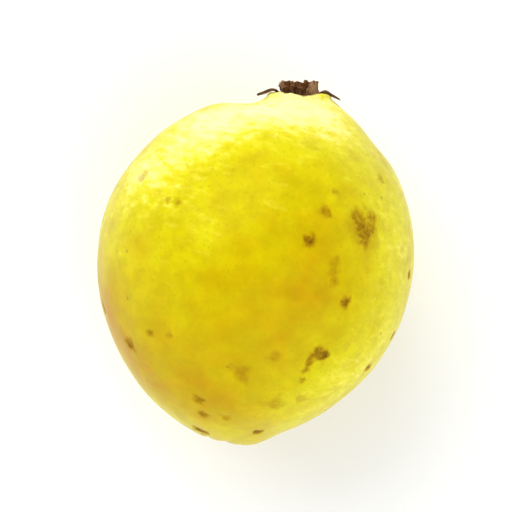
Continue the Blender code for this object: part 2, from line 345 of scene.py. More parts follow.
# Marks that the skin picked up on the tree: russet specks, a healed patch and a scratch. Each row is a place
# on the cheek that faces up, in millimetres right of and above the fruit's middle as the camera sees it with
# the axis leaning AXIS_LEAN to the right, then the mark's radius in millimetres and how brown it is, 0 to 1.

AXIS_LEAN = math.radians(14.4)
VIEW_WIDTH = 74 * MM
LENS = 250
SENSOR = 36
EYE = Vector((0, 0, BODY_RADIUS + VIEW_WIDTH * LENS / SENSOR))
MARKS = [
    (15.8, 5.6, 2.9, 0.34),
    (15.5, 6.8, 1.3, 0.62),
    (15.8, 5.3, 1.5, 0.80),
    (16.1, 3.9, 1.1, 0.66),
    (14.9, 7.6, 0.9, 0.70),
    (16.9, 7.2, 1.1, 0.60),
    (16.9, 5.6, 1.1, 0.60),
    (10.4, 8.1, 0.9, 0.58),
    (8.1, 4.0, 0.8, 0.90),
    (11.7, 0.7, 0.8, 0.42),
    (11.5, -0.5, 0.8, 0.46),
    (11.6, -1.8, 0.6, 0.52),
    (13.1, -5.0, 0.7, 0.86),
    (3.0, -12.7, 0.9, 0.42),
    (-1.9, -15.0, 1.1, 0.48),
    (-8.1, -19.0, 0.7, 0.78),
    (-7.4, -21.1, 0.7, 0.72),
    (-7.9, -23.4, 1.0, 0.95),
    (-4.1, -21.6, 0.7, 0.50),
    (0.5, -23.7, 0.7, 1.0),
    (-17.9, -11.1, 0.9, 0.75),
    (-15.0, -9.3, 0.6, 0.60),
    (-12.3, -9.6, 0.5, 0.42),
    (-11.0, 9.6, 0.6, 0.50),
    (-12.5, 9.8, 0.5, 0.42),
    (-16.1, 13.3, 0.8, 0.45),
    (3.0, -19.5, 1.2, 0.42),
    (6.8, -18.9, 0.8, 0.40),
    (-10.8, -23.0, 0.7, 0.65),
    (20.1, -9.6, 0.6, 0.85),
    (16.4, -14.4, 0.7, 0.80),
    (18.3, 12.9, 0.6, 0.45),
    (11.7, 11.1, 0.5, 0.42),
]
# A scratch with a hooked end, as points in millimetres right and up. It narrows and fades along its length.
SCRATCH = [(10.0, -12.6), (9.3, -12.0), (8.5, -12.7), (7.9, -13.7), (7.4, -14.7), (7.0, -16.2)]
SCRATCH_RADIUS = 0.85
SCRATCH_NARROWING = 0.08
SCRATCH_BROWN = 0.9
SCRATCH_FADING = 0.07
HIDDEN_MARKS = 90
HIDDEN_FROM = 0.25
# Thin russet areas on the hidden sides: the way they face, and their radius in millimetres
HIDDEN_RUSSET = [
    ((0.8, -0.5, -0.35), 3.2),
    ((-0.7, 0.35, -0.6), 2.6),
    ((0.1, 0.5, -0.9), 3.6),
    ((-0.5, -0.75, -0.4), 2.2),
]
RUSSET_BROWN = 0.36
MARK_SEED = 5
MARK_SOFTNESS = 1.6
MARK_RAGGEDNESS = 0.6
MARK_DEPTH = 0.06 * MM

for step, (right, up) in enumerate(SCRATCH):
    radius = SCRATCH_RADIUS - SCRATCH_NARROWING * step
    MARKS.append((right, up, radius, SCRATCH_BROWN - SCRATCH_FADING * step))

surface = BVHTree.FromBMesh(body)


def seen_at(right, up):
    """The place on the skin that the camera sees at millimetres right of and above the fruit's middle."""
    in_view = Matrix.Rotation(AXIS_LEAN, 3, "Z") @ Vector((right * MM, up * MM, 0))
    aimed_at = Vector((seat.x, seat.y, BODY_RADIUS)) + in_view
    return surface.ray_cast(EYE, (aimed_at - EYE).normalized())[0]


spots = [(seen_at(right, up), radius * MM, brown) for right, up, radius, brown in MARKS]
spots = [spot for spot in spots if spot[0]]

# The sides that face away from above have marks of the same kinds
draw = random.Random(MARK_SEED)
for _ in range(HIDDEN_MARKS):
    outwards = Vector([draw.gauss(0, 1) for _ in range(3)]).normalized()
    radius = (0.3 + 0.9 * draw.random() ** 3) * MM
    brown = 0.4 + 0.55 * draw.random()
    if outwards.z < HIDDEN_FROM:
        place = surface.ray_cast(seat + outwards, -outwards)[0]
        spots.append((place, radius, brown))
for outwards, radius in HIDDEN_RUSSET:
    outwards = Vector(outwards).normalized()
    spots.append((surface.ray_cast(seat + outwards, -outwards)[0], radius * MM, RUSSET_BROWN))

russet_layer = body.verts.layers.float.new("russet")
body.normal_update()
body.verts.ensure_lookup_table()
places = np.array([vertex.co for vertex in body.verts])
for place, radius, brown in spots:
    distances = np.linalg.norm(places - np.array(place), axis=1)
    for index in np.flatnonzero(distances < 2 * MARK_SOFTNESS * radius):
        vertex = body.verts[index]
        ragged_distance = distances[index] * (1 + MARK_RAGGEDNESS * noise.noise(vertex.co / (1.1 * radius)))
        inside = min(max(MARK_SOFTNESS - ragged_distance / radius, 0), 1)
        vertex[russet_layer] = max(vertex[russet_layer], brown * inside)
for vertex in body.verts:
    vertex.co -= vertex.normal * MARK_DEPTH * vertex[russet_layer]

# Broad patches of tone. Each row is a place as above, the reach of a broad patch in millimetres, and its
# tone, from -1, pale lemon, to 1, deep gold. Some are the fruit's own uneven ripening: a golden blush at the
# left edge and low on the left. The two deep gold patches right of the middle are painted shade, and the one
# just below the middle makes it darker there. The pale patches high up, towards the calyx end, are a painted
# highlight where the top is lit, and the pale patches along the right edge are a painted reflection. The
# hidden sides get patches of random tone too.
TONE_PATCHES_AND_PAINTED_LIGHT = [
    # Golden blush at the left edge and low on the left
    (-22.0, -4.0, 5.0, 1.0),
    (-20.0, -11.5, 4.5, 0.45),
    (-18.0, -13.0, 7.0, 0.85),
    (-6.0, -19.0, 9.0, 0.62),
    # Painted shade: darker deep gold right of the middle
    (10.5, 5.0, 6.0, 0.45),
    (10.0, -5.0, 7.5, 0.33),
    # Darker just below the middle
    (1.0, -4.0, 9.0, 0.30),
    # More golden blush on the left and low down
    (-19.5, -2.0, 6.0, 0.35),
    (-4.0, -11.0, 10.0, 0.30),
    (-15.0, -8.0, 6.0, 0.35),
    # Painted highlight: pale high up, where the top towards the calyx end is lit
    (-9.0, 20.3, 5.5, -1.2),
    (-3.0, 22.0, 5.5, -1.3),
    (4.0, 23.0, 5.5, -1.2),
    (10.5, 21.5, 5.0, -1.0),
    (-16.5, 14.0, 5.0, -1.2),
    (-11.5, 15.0, 4.5, -0.6),
    (-6.0, 17.5, 4.0, -0.3),
    # Painted reflection: a pale band along the right edge
    (21.0, 2.0, 5.0, -0.5),
    (17.0, -12.0, 6.0, -0.5),
    (10.0, -18.0, 6.0, -0.4),
]
HIDDEN_TONES = 26
# The calyx end is pale: partly paler skin, and partly a painted highlight where the top is lit
PALE_END_AND_PAINTED_HIGHLIGHT_REACH = 8 * MM
PALE_END_AND_PAINTED_HIGHLIGHT_TONE = -1.0
patches = [(seen_at(right, up), reach * MM, tone) for right, up, reach, tone in TONE_PATCHES_AND_PAINTED_LIGHT]
patches = [patch for patch in patches if patch[0]]
# The pale calyx end, partly a painted highlight
patches.append((CALYX_SEAT.translation, PALE_END_AND_PAINTED_HIGHLIGHT_REACH, PALE_END_AND_PAINTED_HIGHLIGHT_TONE))
for _ in range(HIDDEN_TONES):
    outwards = Vector([draw.gauss(0, 1) for _ in range(3)]).normalized()
    reach = draw.uniform(5, 9) * MM
    tone = draw.uniform(-0.7, 0.9)
    if outwards.z < 0:
        patches.append((surface.ray_cast(seat + outwards, -outwards)[0], reach, tone))
tones = np.zeros(len(places))
for place, reach, tone in patches:
    distances = np.linalg.norm(places - np.array(place), axis=1)
    tones += tone * np.exp(-((distances / reach) ** 2))
tone_layer = body.verts.layers.float.new("tone")
for vertex, tone in zip(body.verts, tones):
    vertex[tone_layer] = tone

# The flat spot it rests on
flat_cut = bmesh.ops.bisect_plane(
    body,
    geom=body.verts[:] + body.edges[:] + body.faces[:],
    dist=MERGE_DISTANCE,
    plane_co=(0, 0, 0),
    plane_no=(0, 0, -1),
    clear_outer=True,
)
flat_rim = [item for item in flat_cut["geom_cut"] if isinstance(item, bmesh.types.BMEdge)]
bmesh.ops.contextual_create(body, geom=flat_rim)


# Ripe guava skin: thin, waxy and a little translucent, lemon yellow with greener and golden areas. Its oil
# glands show as fine darker dots, and the russet marks are dry and matt.


def linear(hex_colour):
    """An sRGB colour such as #ecd702 as the linear RGBA that shaders take."""
    channels = [int(hex_colour[i : i + 2], 16) / 255 for i in (1, 3, 5)]
    return [c / 12.92 if c <= 0.04045 else ((c + 0.055) / 1.055) ** 2.4 for c in channels] + [1]


def add_node(tree, kind, inputs, **settings):
    """Adds a shader node. Each input, by name or number, is a plain value, a socket to link, or a node."""
    node = tree.nodes.new("ShaderNode" + kind)
    for name, value in settings.items():
        setattr(node, name, value)
    for name, value in inputs.items():
        by_name = [item for item in node.inputs if item.enabled and item.name == name]
        socket = by_name[0] if by_name else node.inputs[name]
        if isinstance(value, bpy.types.Node):
            value = next(item for item in value.outputs if item.enabled)
        if isinstance(value, bpy.types.NodeSocket):
            tree.links.new(value, socket)
        else:
            socket.default_value = value
    return node


def new_material(name, roughness):
    """A material with its shader, and its pattern space: Object coordinates turned to millimetres."""
    material = bpy.data.materials.new(name)
    material.use_nodes = True
    tree = material.node_tree
    shader = tree.nodes["Principled BSDF"]
    shader.inputs["Roughness"].default_value = roughness
    coordinates = add_node(tree, "TexCoord", {}).outputs["Object"]
    millimetres = add_node(tree, "Mapping", {"Vector": coordinates, "Scale": (1 / MM, 1 / MM, 1 / MM)})
    return material, tree, shader, millimetres


# The output of a Mix node that holds its colour
MIXED_COLOUR = 2


def layered(tree, colour, layers):
    """Lays colours over a first one. A layer says what it follows, the values of that at which it starts and
    ends, its share at those two, and its colour, a hex value or a socket."""
    if isinstance(colour, str):
        colour = linear(colour)
    for follows, start, end, share_at_start, share_at_end, over in layers:
        steps = {"From Min": start, "From Max": end, "To Min": share_at_start, "To Max": share_at_end}
        share = add_node(tree, "MapRange", {"Value": follows, **steps})
        if isinstance(over, str):
            over = linear(over)
        mixed = add_node(tree, "Mix", {"Factor": share, "A": colour, "B": over}, data_type="RGBA")
        colour = mixed.outputs[MIXED_COLOUR]
    return colour


SKIN_ROUGHNESS = 0.36
CORK_ROUGHNESS = 0.8
GLAND_SPACING = 0.9
FRECKLE_SPACING = 3.1
NOISE_ROUGHNESS = 0.6

skin, tree, shader, millimetres = new_material("waxy ripe guava skin", SKIN_ROUGHNESS)
shader.inputs["IOR"].default_value = 1.42
shader.inputs["Specular IOR Level"].default_value = 0.2
shader.inputs["Specular Tint"].default_value = linear("#fff164")
shader.inputs["Subsurface Weight"].default_value = 0.15
shader.inputs["Subsurface Radius"].default_value = (1.0, 0.7, 0.12)
shader.inputs["Subsurface Scale"].default_value = 2.2 * MM
shader.inputs["Coat Weight"].default_value = 0.05
shader.inputs["Coat Roughness"].default_value = 0.25


# The broad tones, which carry the painted highlight, reflection and shade as well as the ripening, broken up
# by blotches 8 mm apart and by flecks 1.5 mm apart that run round the fruit
noise_space = {"Vector": millimetres, "Roughness": NOISE_ROUGHNESS}
tone = add_node(tree, "Attribute", {}, attribute_name="tone").outputs["Fac"]
broad_noise = add_node(tree, "TexNoise", {**noise_space, "Scale": 1 / 8, "Detail": 5})
blotches = add_node(tree, "Math", {0: broad_noise, 1: 1.6, 2: tone}, operation="MULTIPLY_ADD")
girthwise = add_node(tree, "Mapping", {"Vector": millimetres, "Scale": (0.7, 1.5, 0.7)})
fleck_noise = add_node(tree, "TexNoise", {**noise_space, "Vector": girthwise, "Scale": 1 / 1.5, "Detail": 5})
flecks = add_node(tree, "Math", {0: fleck_noise, 1: 3.2, 2: blotches}, operation="MULTIPLY_ADD")
green_noise = add_node(tree, "TexNoise", {**noise_space, "Scale": 1 / 5, "Detail": 4})
# A duller gold mottle, stronger where the tone is deep, so it also darkens the painted shade right of the
# middle
dull_noise = add_node(tree, "TexNoise", {**noise_space, "Scale": 1 / 3.2, "Detail": 4})
dull_mottle_and_painted_shade = add_node(tree, "Math", {0: tone, 1: 0.16, 2: dull_noise}, operation="MULTIPLY_ADD")
# Full yellow, then deep gold, which is ripening and, right of the middle, painted shade, a blush, greener
# yellow, pale lemon, which is partly paler skin and partly painted highlight and reflection, a near-white
# painted highlight at the top and the calyx end, and duller gold
ripe_and_painted_light_layers = (
    (blotches, 0.7, 1.9, 0, 1, "#c58e01"),
    (blotches, 1.55, 2.1, 0, 0.6, "#c27d05"),
    (green_noise, 0.42, 0.62, 0, 0.4, "#cfc702"),
    (flecks, 2.3, 1.1, 0, 1, "#eee23c"),
    (flecks, 1.7, 0.4, 0, 0.9, "#f8f3ac"),
    (dull_mottle_and_painted_shade, 0.42, 0.70, 0, 0.5, "#b59a01"),
)
colour = layered(tree, "#d9ce01", ripe_and_painted_light_layers)

# Oil glands seen through the skin, and a few brown freckles
glands = add_node(tree, "TexVoronoi", {"Vector": millimetres, "Scale": 1 / GLAND_SPACING})
freckle_cells = add_node(tree, "TexVoronoi", {"Vector": millimetres, "Scale": 1 / FRECKLE_SPACING})
chosen = add_node(tree, "Math", {0: freckle_cells.outputs["Color"], 1: 0.62}, operation="GREATER_THAN")
dot_size = {"From Min": 0.05, "From Max": 0.11, "To Min": 1, "To Max": 0}
dots = add_node(tree, "MapRange", {"Value": freckle_cells, **dot_size})
freckles = add_node(tree, "Math", {0: dots, 1: chosen}, operation="MULTIPLY")

# Russet marks, ragged at the edge: tan round the rim and brown where they are deep
russet_value = add_node(tree, "Attribute", {}, attribute_name="russet").outputs["Fac"]
russet_noise = add_node(tree, "TexNoise", {**noise_space, "Scale": 1 / 0.55, "Detail": 4})
russet_edge = {"From Min": 0.3, "From Max": 0.7, "To Min": 0.55, "To Max": 1.3}
ragged = add_node(tree, "MapRange", {"Value": russet_noise, **russet_edge})
russet_depth = add_node(tree, "Math", {0: russet_value, 1: ragged}, operation="MULTIPLY")

# Dead cork in the cup and round the stem
cork_value = add_node(tree, "Attribute", {}, attribute_name="cork").outputs["Fac"]
cork_noise = add_node(tree, "TexNoise", {**noise_space, "Scale": 1 / 0.5, "Detail": 4})
cork_edge = {"From Min": 0.3, "From Max": 0.7, "To Min": 0.7, "To Max": 1.25}
flaky = add_node(tree, "MapRange", {"Value": cork_noise, **cork_edge})
cork_depth = add_node(tree, "Math", {0: cork_value, 1: flaky}, operation="MULTIPLY")
cork_grain = add_node(tree, "TexNoise", {**noise_space, "Scale": 1 / 0.35, "Detail": 3})
cork = layered(tree, "#4b3213", [(cork_grain, 0.35, 0.65, 0, 1, "#8a6733")])
dry_layers = (
    (glands, 0.12, 0.3, 0.25, 0, "#ab9a0a"),
    (freckles, 0, 1, 0, 0.5, "#7d5a06"),
    (russet_depth, 0.06, 0.6, 0, 0.85, "#a67a02"),
    (russet_depth, 0.5, 1.05, 0, 0.85, "#5e3c03"),
    (cork_depth, 0.15, 0.5, 0, 0.55, "#a98318"),
    (cork_depth, 0.42, 0.8, 0, 1, cork),
)
tree.links.new(layered(tree, colour, dry_layers), shader.inputs["Base Color"])

# What is dry is matt, and the glands are fine pits
dryness = add_node(tree, "Math", {0: russet_depth, 1: cork_depth}, operation="MAXIMUM")
drying = {"From Min": 0.15, "From Max": 0.6, "To Min": SKIN_ROUGHNESS, "To Max": CORK_ROUGHNESS}
roughness = add_node(tree, "MapRange", {"Value": dryness, **drying})
tree.links.new(roughness.outputs["Result"], shader.inputs["Roughness"])
pores = add_node(tree, "Bump", {"Height": glands, "Strength": 0.25, "Distance": 0.05 * MM})
tree.links.new(pores.outputs["Normal"], shader.inputs["Normal"])

finish_piece(body, "guava_fruit", [skin], "fruit")


# The dry calyx stays on the ripe fruit: five papery sepals on a woody ring in the cup. Two have folded out
# over the rim, to the left and right as seen from above, and the other three are torn-off stumps.

GAP = 0.3 * MM
RING_INNER_RADIUS = 2.5 * MM
RING_OUTER_RADIUS = CUP_RADIUS - GAP
RING_TOP = 0.9 * MM
RING_FILLET = 0.2 * MM
RING_STEPS = 120
SEPAL_ROOT_HEIGHT = 0.2 * MM
SEPAL_WAVE = 0.1
SEPAL_HOLLOW = 0.16
SEPAL_PATH_STEPS = 24
SEPAL_TAPER = 2.2
# Azimuth from +X, length and width in mm, the tip's share of that width, where its bend starts and ends along
# it, lean of the tip, twist, and its thickness in mm
SEPALS = (
    (-6, 4.1, 3.3, 0.10, 0.00, 0.52, 118, 6, 0.40),
    (58, 2.7, 3.3, 0.90, 0.20, 1.00, 24, -8, 0.60),
    (124, 2.7, 3.2, 0.90, 0.30, 1.00, 10, 6, 0.60),
    (186, 4.5, 3.2, 0.08, 0.00, 0.52, 112, -8, 0.40),
    (258, 2.7, 4.0, 0.95, 0.25, 1.00, 24, 6, 0.60),
)
SEPAL_COLUMNS = 18
SEPAL_ROWS = 32
SEPAL_EDGE = 0.35
TEAR_DEPTH = 0.22
TEARS_ACROSS = 2.6
NICKS_ACROSS = 3
NICKS_ALONG = 5
CRUMPLE_HEIGHT = 0.12 * MM
CRUMPLE_SPACING = 1.1 * MM
RING_CRUMPLE_HEIGHT = 1.3 * CRUMPLE_HEIGHT
RING_CRUMPLE_SPACING = 1.6 * CRUMPLE_SPACING
CRUMPLE_SEED = 7
# Unseeded, noise vectors start from the clock
noise.seed_set(CRUMPLE_SEED)


def sepal_point(row, across, along):
    """A point of the sepal's middle sheet. across runs -1 to 1 and along 0 to 1 from root to tip."""
    azimuth, length, width, tip_width, bend_start, bend_end, tip_lean, twist, _ = row
    radius, height = (RING_INNER_RADIUS + RING_OUTER_RADIUS) / 2, SEPAL_ROOT_HEIGHT
    for i in range(SEPAL_PATH_STEPS):
        share = min(max(along * SEPAL_PATH_STEPS - i, 0), 1)
        bend = smooth(((i + 0.5) / SEPAL_PATH_STEPS - bend_start) / (bend_end - bend_start))
        lean = math.radians(tip_lean) * bend
        radius += share * length * MM / SEPAL_PATH_STEPS * math.sin(lean)
        height += share * length * MM / SEPAL_PATH_STEPS * math.cos(lean)
    narrowing = 1 - (1 - tip_width) * along**SEPAL_TAPER
    waviness = 1 - SEPAL_WAVE * across * math.sin(2 * math.pi * along)
    half_width = width * MM / 2 * narrowing * waviness
    turned = math.radians(twist) * along
    side = across * half_width * math.cos(turned)
    height += across * half_width * math.sin(turned)
    # The sheet is hollow across, and twice as much at the root as at the tip
    radius -= SEPAL_HOLLOW * (across * width * MM / 2) ** 2 / RING_OUTER_RADIUS * (2 - along)
    return Euler((0, 0, math.radians(azimuth))).to_matrix() @ Vector((radius, side, height))


def torn_sepal_point(row, across, along):
    """The same sheet with the ragged sides and tip of an old sepal, and crumpled."""
    nick = Vector((NICKS_ACROSS * across, row[0], NICKS_ALONG * along))
    tip_loss = TEAR_DEPTH * (0.5 + noise.noise(Vector((TEARS_ACROSS * across, row[0], 0)))) * along
    side_loss = TEAR_DEPTH * (0.5 + noise.noise(nick)) * abs(across)
    point = sepal_point(row, across * (1 - side_loss), along * (1 - tip_loss))
    loose = CRUMPLE_HEIGHT * smooth(2 * along)
    return point + loose * noise.noise_vector(point / CRUMPLE_SPACING)


def add_sepal(calyx, row, vein_layer, inside_layer):
    """One sepal: a sheet that gets its thickness, and then is thinned towards its sides and tip."""
    sheet = bmesh.ops.create_grid(calyx, x_segments=SEPAL_COLUMNS, y_segments=SEPAL_ROWS, size=1)["verts"]
    for vertex in sheet:
        across, along = vertex.co.x, (vertex.co.y + 1) / 2
        vertex[vein_layer] = Vector((across * row[2] / 2, along * row[1], row[0]))
        vertex.co = torn_sepal_point(row, across, along)
    faces = list(dict.fromkeys(face for vertex in sheet for face in vertex.link_faces))
    calyx.normal_update()
    middle = {vertex: (vertex.co.copy(), vertex.normal.copy()) for vertex in sheet}
    copies = bmesh.ops.duplicate(calyx, geom=faces)
    twins = {copies["vert_map"][vertex]: place for vertex, place in middle.items()}
    backs = [item for item in copies["geom"] if isinstance(item, bmesh.types.BMFace)]
    bmesh.ops.reverse_faces(calyx, faces=backs)
    for side, half in ((1, middle), (-1, twins)):
        for vertex, (place, normal) in half.items():
            across = vertex[vein_layer].x / (row[2] / 2)
            along = vertex[vein_layer].y / row[1]
            thin = 1 - (1 - SEPAL_EDGE) * max(abs(across) ** 3, along**1.5)
            vertex.co = place + side * normal * row[-1] * MM / 2 * thin
            towards_axis = -Vector((place.x, place.y, 0)).dot(side * normal)
            vertex[inside_layer] = 1.0 if towards_axis > 0 else 0.0
    rims = [edge for vertex in [*middle, *twins] for edge in vertex.link_edges if edge.is_boundary]
    bmesh.ops.bridge_loops(calyx, edges=list(dict.fromkeys(rims)))


calyx = bmesh.new()
vein_layer = calyx.verts.layers.float_vector.new("veins")
inside_layer = calyx.verts.layers.float.new("inside")
bottom = GAP - CUP_DEPTH
ring = (
    (RING_INNER_RADIUS, RING_TOP - RING_FILLET),
    (RING_INNER_RADIUS + RING_FILLET, RING_TOP),
    (RING_OUTER_RADIUS - RING_FILLET, RING_TOP),
    (RING_OUTER_RADIUS, RING_TOP - RING_FILLET),
    (RING_OUTER_RADIUS, bottom + 2 * RING_FILLET),
    (RING_OUTER_RADIUS - 2 * RING_FILLET, bottom),
    (RING_INNER_RADIUS, bottom),
)
spin_profile(calyx, ring, RING_STEPS, closed=True)
for vertex in calyx.verts:
    vertex[vein_layer] = vertex.co / MM
    vertex.co += RING_CRUMPLE_HEIGHT * noise.noise_vector(vertex.co / RING_CRUMPLE_SPACING)
    vertex.co.z -= CRUMPLE_HEIGHT * (1 + noise.noise(vertex.co / CRUMPLE_SPACING))
for row in SEPALS:
    add_sepal(calyx, row, vein_layer, inside_layer)
bmesh.ops.transform(calyx, matrix=CALYX_SEAT, verts=calyx.verts)

# Dead, dry sepal: matt dark brown outside with fibres along it, beige and felted inside
dry_sepal, tree, shader, millimetres = new_material("dry papery sepal", 0.82)
shader.inputs["Specular IOR Level"].default_value = 0.12
noise_space = {"Vector": millimetres, "Roughness": NOISE_ROUGHNESS}
veins = add_node(tree, "Attribute", {}, attribute_name="veins").outputs["Vector"]
inside = add_node(tree, "Attribute", {}, attribute_name="inside").outputs["Fac"]
stretched = add_node(tree, "Mapping", {"Vector": veins, "Scale": (1, 0.22, 1)})
fibres = add_node(tree, "TexNoise", {**noise_space, "Vector": stretched, "Scale": 1 / 0.28, "Detail": 3})
mottle = add_node(tree, "TexNoise", {**noise_space, "Scale": 1 / 0.8, "Detail": 4})
outer_layers = (
    (fibres, 0.35, 0.7, 0, 1, "#5c3814"),
    (mottle, 0.50, 0.68, 0, 0.75, "#8e6040"),
)
felt = layered(tree, "#76502c", [(fibres, 0.3, 0.7, 0, 1, "#bd9670")])
felt_noise = add_node(tree, "TexNoise", {**noise_space, "Scale": 1 / 1.1, "Detail": 3})
felt_patches = {"From Min": 0.42, "From Max": 0.56, "To Min": 0.15, "To Max": 0.95}
felt_cover = add_node(tree, "MapRange", {"Value": felt_noise, **felt_patches})
felted = add_node(tree, "Math", {0: inside, 1: felt_cover}, operation="MULTIPLY")
colour = layered(tree, "#1f0f04", (*outer_layers, (felted, 0, 1, 0, 1, felt)))
tree.links.new(colour, shader.inputs["Base Color"])
fibre_bump = add_node(tree, "Bump", {"Height": fibres, "Strength": 0.7, "Distance": 0.08 * MM})
tree.links.new(fibre_bump.outputs["Normal"], shader.inputs["Normal"])

finish_piece(calyx, "guava_calyx", [dry_sepal], "calyx")


# What is left of the flower fills the cup: a dry disc with its crowd of shrivelled stamens, some with the
# remains of their anthers, round one thicker style.

DISC_RADIUS = RING_INNER_RADIUS - GAP
DISC_TOP = 0.1 * MM
DISC_UNEVENNESS = 0.14 * MM
STAMEN_COUNT = 58
STAMEN_LENGTH = 2.3 * MM
STAMEN_THICKNESS = 0.17 * MM
STAMEN_SEED = 11
# The least and the greatest share of that length, lean and curl, and how far a stamen turns off its radius
LENGTH_SHARES = (0.5, 1.0)
LEANS = (-0.05, 0.45)
CURLS = (-0.2, 0.9)
TURNS = (-0.7, 0.7)
STYLE_LENGTH = 2.6 * MM
STYLE_THICKNESS = 0.5 * MM
STIGMA_WIDTH = 0.75 * MM
ANTHER_SIZE = 0.36 * MM
ANTHER_SHARE = 0.7
ANTHER_WIDTHS = (0.5, 0.8)
ANTHER_HEIGHTS = (0.6, 1.1)
STYLE_AZIMUTH = 0.6
STYLE_LEAN = 0.06
STYLE_CURL = 0.1
DISC_STEPS = 60
INNER_GAP = 0.3 * MM
OUTER_GAP = 0.45 * MM
PIN_ROOT_DEPTH = 0.3 * MM
THREAD_CUTS = 5
TURN_BETWEEN_STAMENS = math.radians(137.5)


def add_thread(stamens, root, azimuth, length, thickness, lean, curl):
    """A tapered thread that leans towards the axis and curls. Returns its tip."""
    turn = Euler((0, 0, azimuth)).to_matrix()

    def curled(point):
        along = point.z / length + 0.5
        bend = -lean - curl * along
        reach = Vector((math.sin(bend), 0, math.cos(bend))) * length * along
        return root + turn @ (Vector((point.x, point.y, 0)) + reach)

    thread = bmesh.new()
    bmesh.ops.create_cone(
        thread, cap_ends=True, segments=6, radius1=thickness / 2, radius2=thickness / 3, depth=length
    )
    upright = [edge for edge in thread.edges if edge.calc_length() > length / 2]
    bmesh.ops.subdivide_edges(thread, edges=upright, cuts=THREAD_CUTS)
    for vertex in thread.verts:
        vertex.co = curled(vertex.co)
    mesh = bpy.data.meshes.new("thread")
    thread.to_mesh(mesh)
    thread.free()
    stamens.from_mesh(mesh)
    bpy.data.meshes.remove(mesh)
    return curled(Vector((0, 0, length / 2)))


stamens = bmesh.new()
disc = (
    (0, DISC_TOP),
    (DISC_RADIUS * 0.6, DISC_TOP - 0.05 * MM),
    (DISC_RADIUS - 0.15 * MM, DISC_TOP - 0.15 * MM),
    (DISC_RADIUS, DISC_TOP - 0.35 * MM),
    (DISC_RADIUS, bottom),
    (0, bottom),
)
spin_profile(stamens, disc, DISC_STEPS)
for vertex in stamens.verts:
    vertex.co += DISC_UNEVENNESS * noise.noise_vector(vertex.co / MM)
draw = random.Random(STAMEN_SEED)
for index in range(1, STAMEN_COUNT + 1):
    out = INNER_GAP + (DISC_RADIUS - OUTER_GAP) * math.sqrt(index / STAMEN_COUNT)
    azimuth = index * TURN_BETWEEN_STAMENS
    root = Vector((out * math.cos(azimuth), out * math.sin(azimuth), DISC_TOP - PIN_ROOT_DEPTH))
    length = STAMEN_LENGTH * draw.uniform(*LENGTH_SHARES)
    lean = draw.uniform(*LEANS)
    curl = draw.uniform(*CURLS)
    tip = add_thread(stamens, root, azimuth + draw.uniform(*TURNS), length, STAMEN_THICKNESS, lean, curl)
    if draw.random() < ANTHER_SHARE:
        flattened = Matrix.Diagonal((1, draw.uniform(*ANTHER_WIDTHS), draw.uniform(*ANTHER_HEIGHTS), 1))
        at_tip = Matrix.Translation(tip) @ flattened
        bmesh.ops.create_icosphere(stamens, subdivisions=1, radius=ANTHER_SIZE / 2, matrix=at_tip)
root = Vector((0, 0, DISC_TOP - PIN_ROOT_DEPTH))
tip = add_thread(stamens, root, STYLE_AZIMUTH, STYLE_LENGTH, STYLE_THICKNESS, STYLE_LEAN, STYLE_CURL)
bmesh.ops.create_icosphere(stamens, subdivisions=2, radius=STIGMA_WIDTH / 2, matrix=Matrix.Translation(tip))
bmesh.ops.recalc_face_normals(stamens, faces=stamens.faces)
bmesh.ops.transform(stamens, matrix=CALYX_SEAT, verts=stamens.verts)

# Shrivelled threads, beige to rust brown, with no gloss
dry_thread, tree, shader, millimetres = new_material("dry stamen thread", 0.85)
shader.inputs["Specular IOR Level"].default_value = 0.12
noise_space = {"Vector": millimetres, "Roughness": NOISE_ROUGHNESS}
rust = add_node(tree, "TexNoise", {**noise_space, "Scale": 1 / 0.8, "Detail": 4})
colour = layered(tree, "#58300f", [(rust, 0.35, 0.65, 0, 1, "#c49a6b")])
tree.links.new(colour, shader.inputs["Base Color"])
shrivel = add_node(tree, "TexNoise", {**noise_space, "Scale": 1 / 0.2, "Detail": 3})
wrinkles = add_node(tree, "Bump", {"Height": shrivel, "Strength": 0.6, "Distance": 0.05 * MM})
tree.links.new(wrinkles.outputs["Normal"], shader.inputs["Normal"])

finish_piece(stamens, "guava_stamens", [dry_thread], "stamens")


# A short end of the stem is left in its socket, snapped off just below the skin: furrowed brown bark round
# pale, splintered wood with a darker pith.

STUB_LENGTH = 1.7 * MM
STUB_RADIUS = SOCKET_RADIUS - GAP
PITH_RADIUS = 0.25 * MM
BARK_THICKNESS = 0.2 * MM
FURROW_DEPTH = 0.12 * MM
SPLINTER_HEIGHT = 0.3 * MM
SPLINTER_SPACING = 0.22 * MM
# Furrows for each millimetre round the bark and along it
FURROWS = Vector((2.2, 2.2, 0.5))
STUB_RINGS = 12
STUB_STEPS = 96
stub_top = DIMPLE_DEPTH + SOCKET_DEPTH - GAP
stub_end = stub_top - STUB_LENGTH
stub_profile = [(0, stub_top), (STUB_RADIUS, stub_top)]
for i in range(1, STUB_RINGS):
    stub_profile.append((STUB_RADIUS * 1.02, stub_top + (stub_end - stub_top) * i / STUB_RINGS))
stub_profile += [(STUB_RADIUS * 0.95, stub_end), (STUB_RADIUS - BARK_THICKNESS, stub_end + 0.02 * MM)]
stub_profile += [(STUB_RADIUS * i / STUB_RINGS, stub_end + 0.15 * MM) for i in range(9, -1, -1)]
stub = bmesh.new()
spin_profile(stub, stub_profile, STUB_STEPS)
stub_layer = stub.verts.layers.float_vector.new("stub_place")
for vertex in stub.verts:
    place = vertex.co.copy()
    vertex[stub_layer] = Vector((place.xy.length, math.atan2(place.y, place.x) * MM, place.z)) / MM
    grooved = 0.5 + noise.noise(place * FURROWS / MM)
    if place.xy.length > STUB_RADIUS * 0.9:
        vertex.co.xy *= 1 - FURROW_DEPTH * max(0, grooved) / place.xy.length
    if place.z < stub_end + 0.2 * MM:
        vertex.co.z += SPLINTER_HEIGHT * max(0, 0.4 + noise.noise(place / SPLINTER_SPACING))
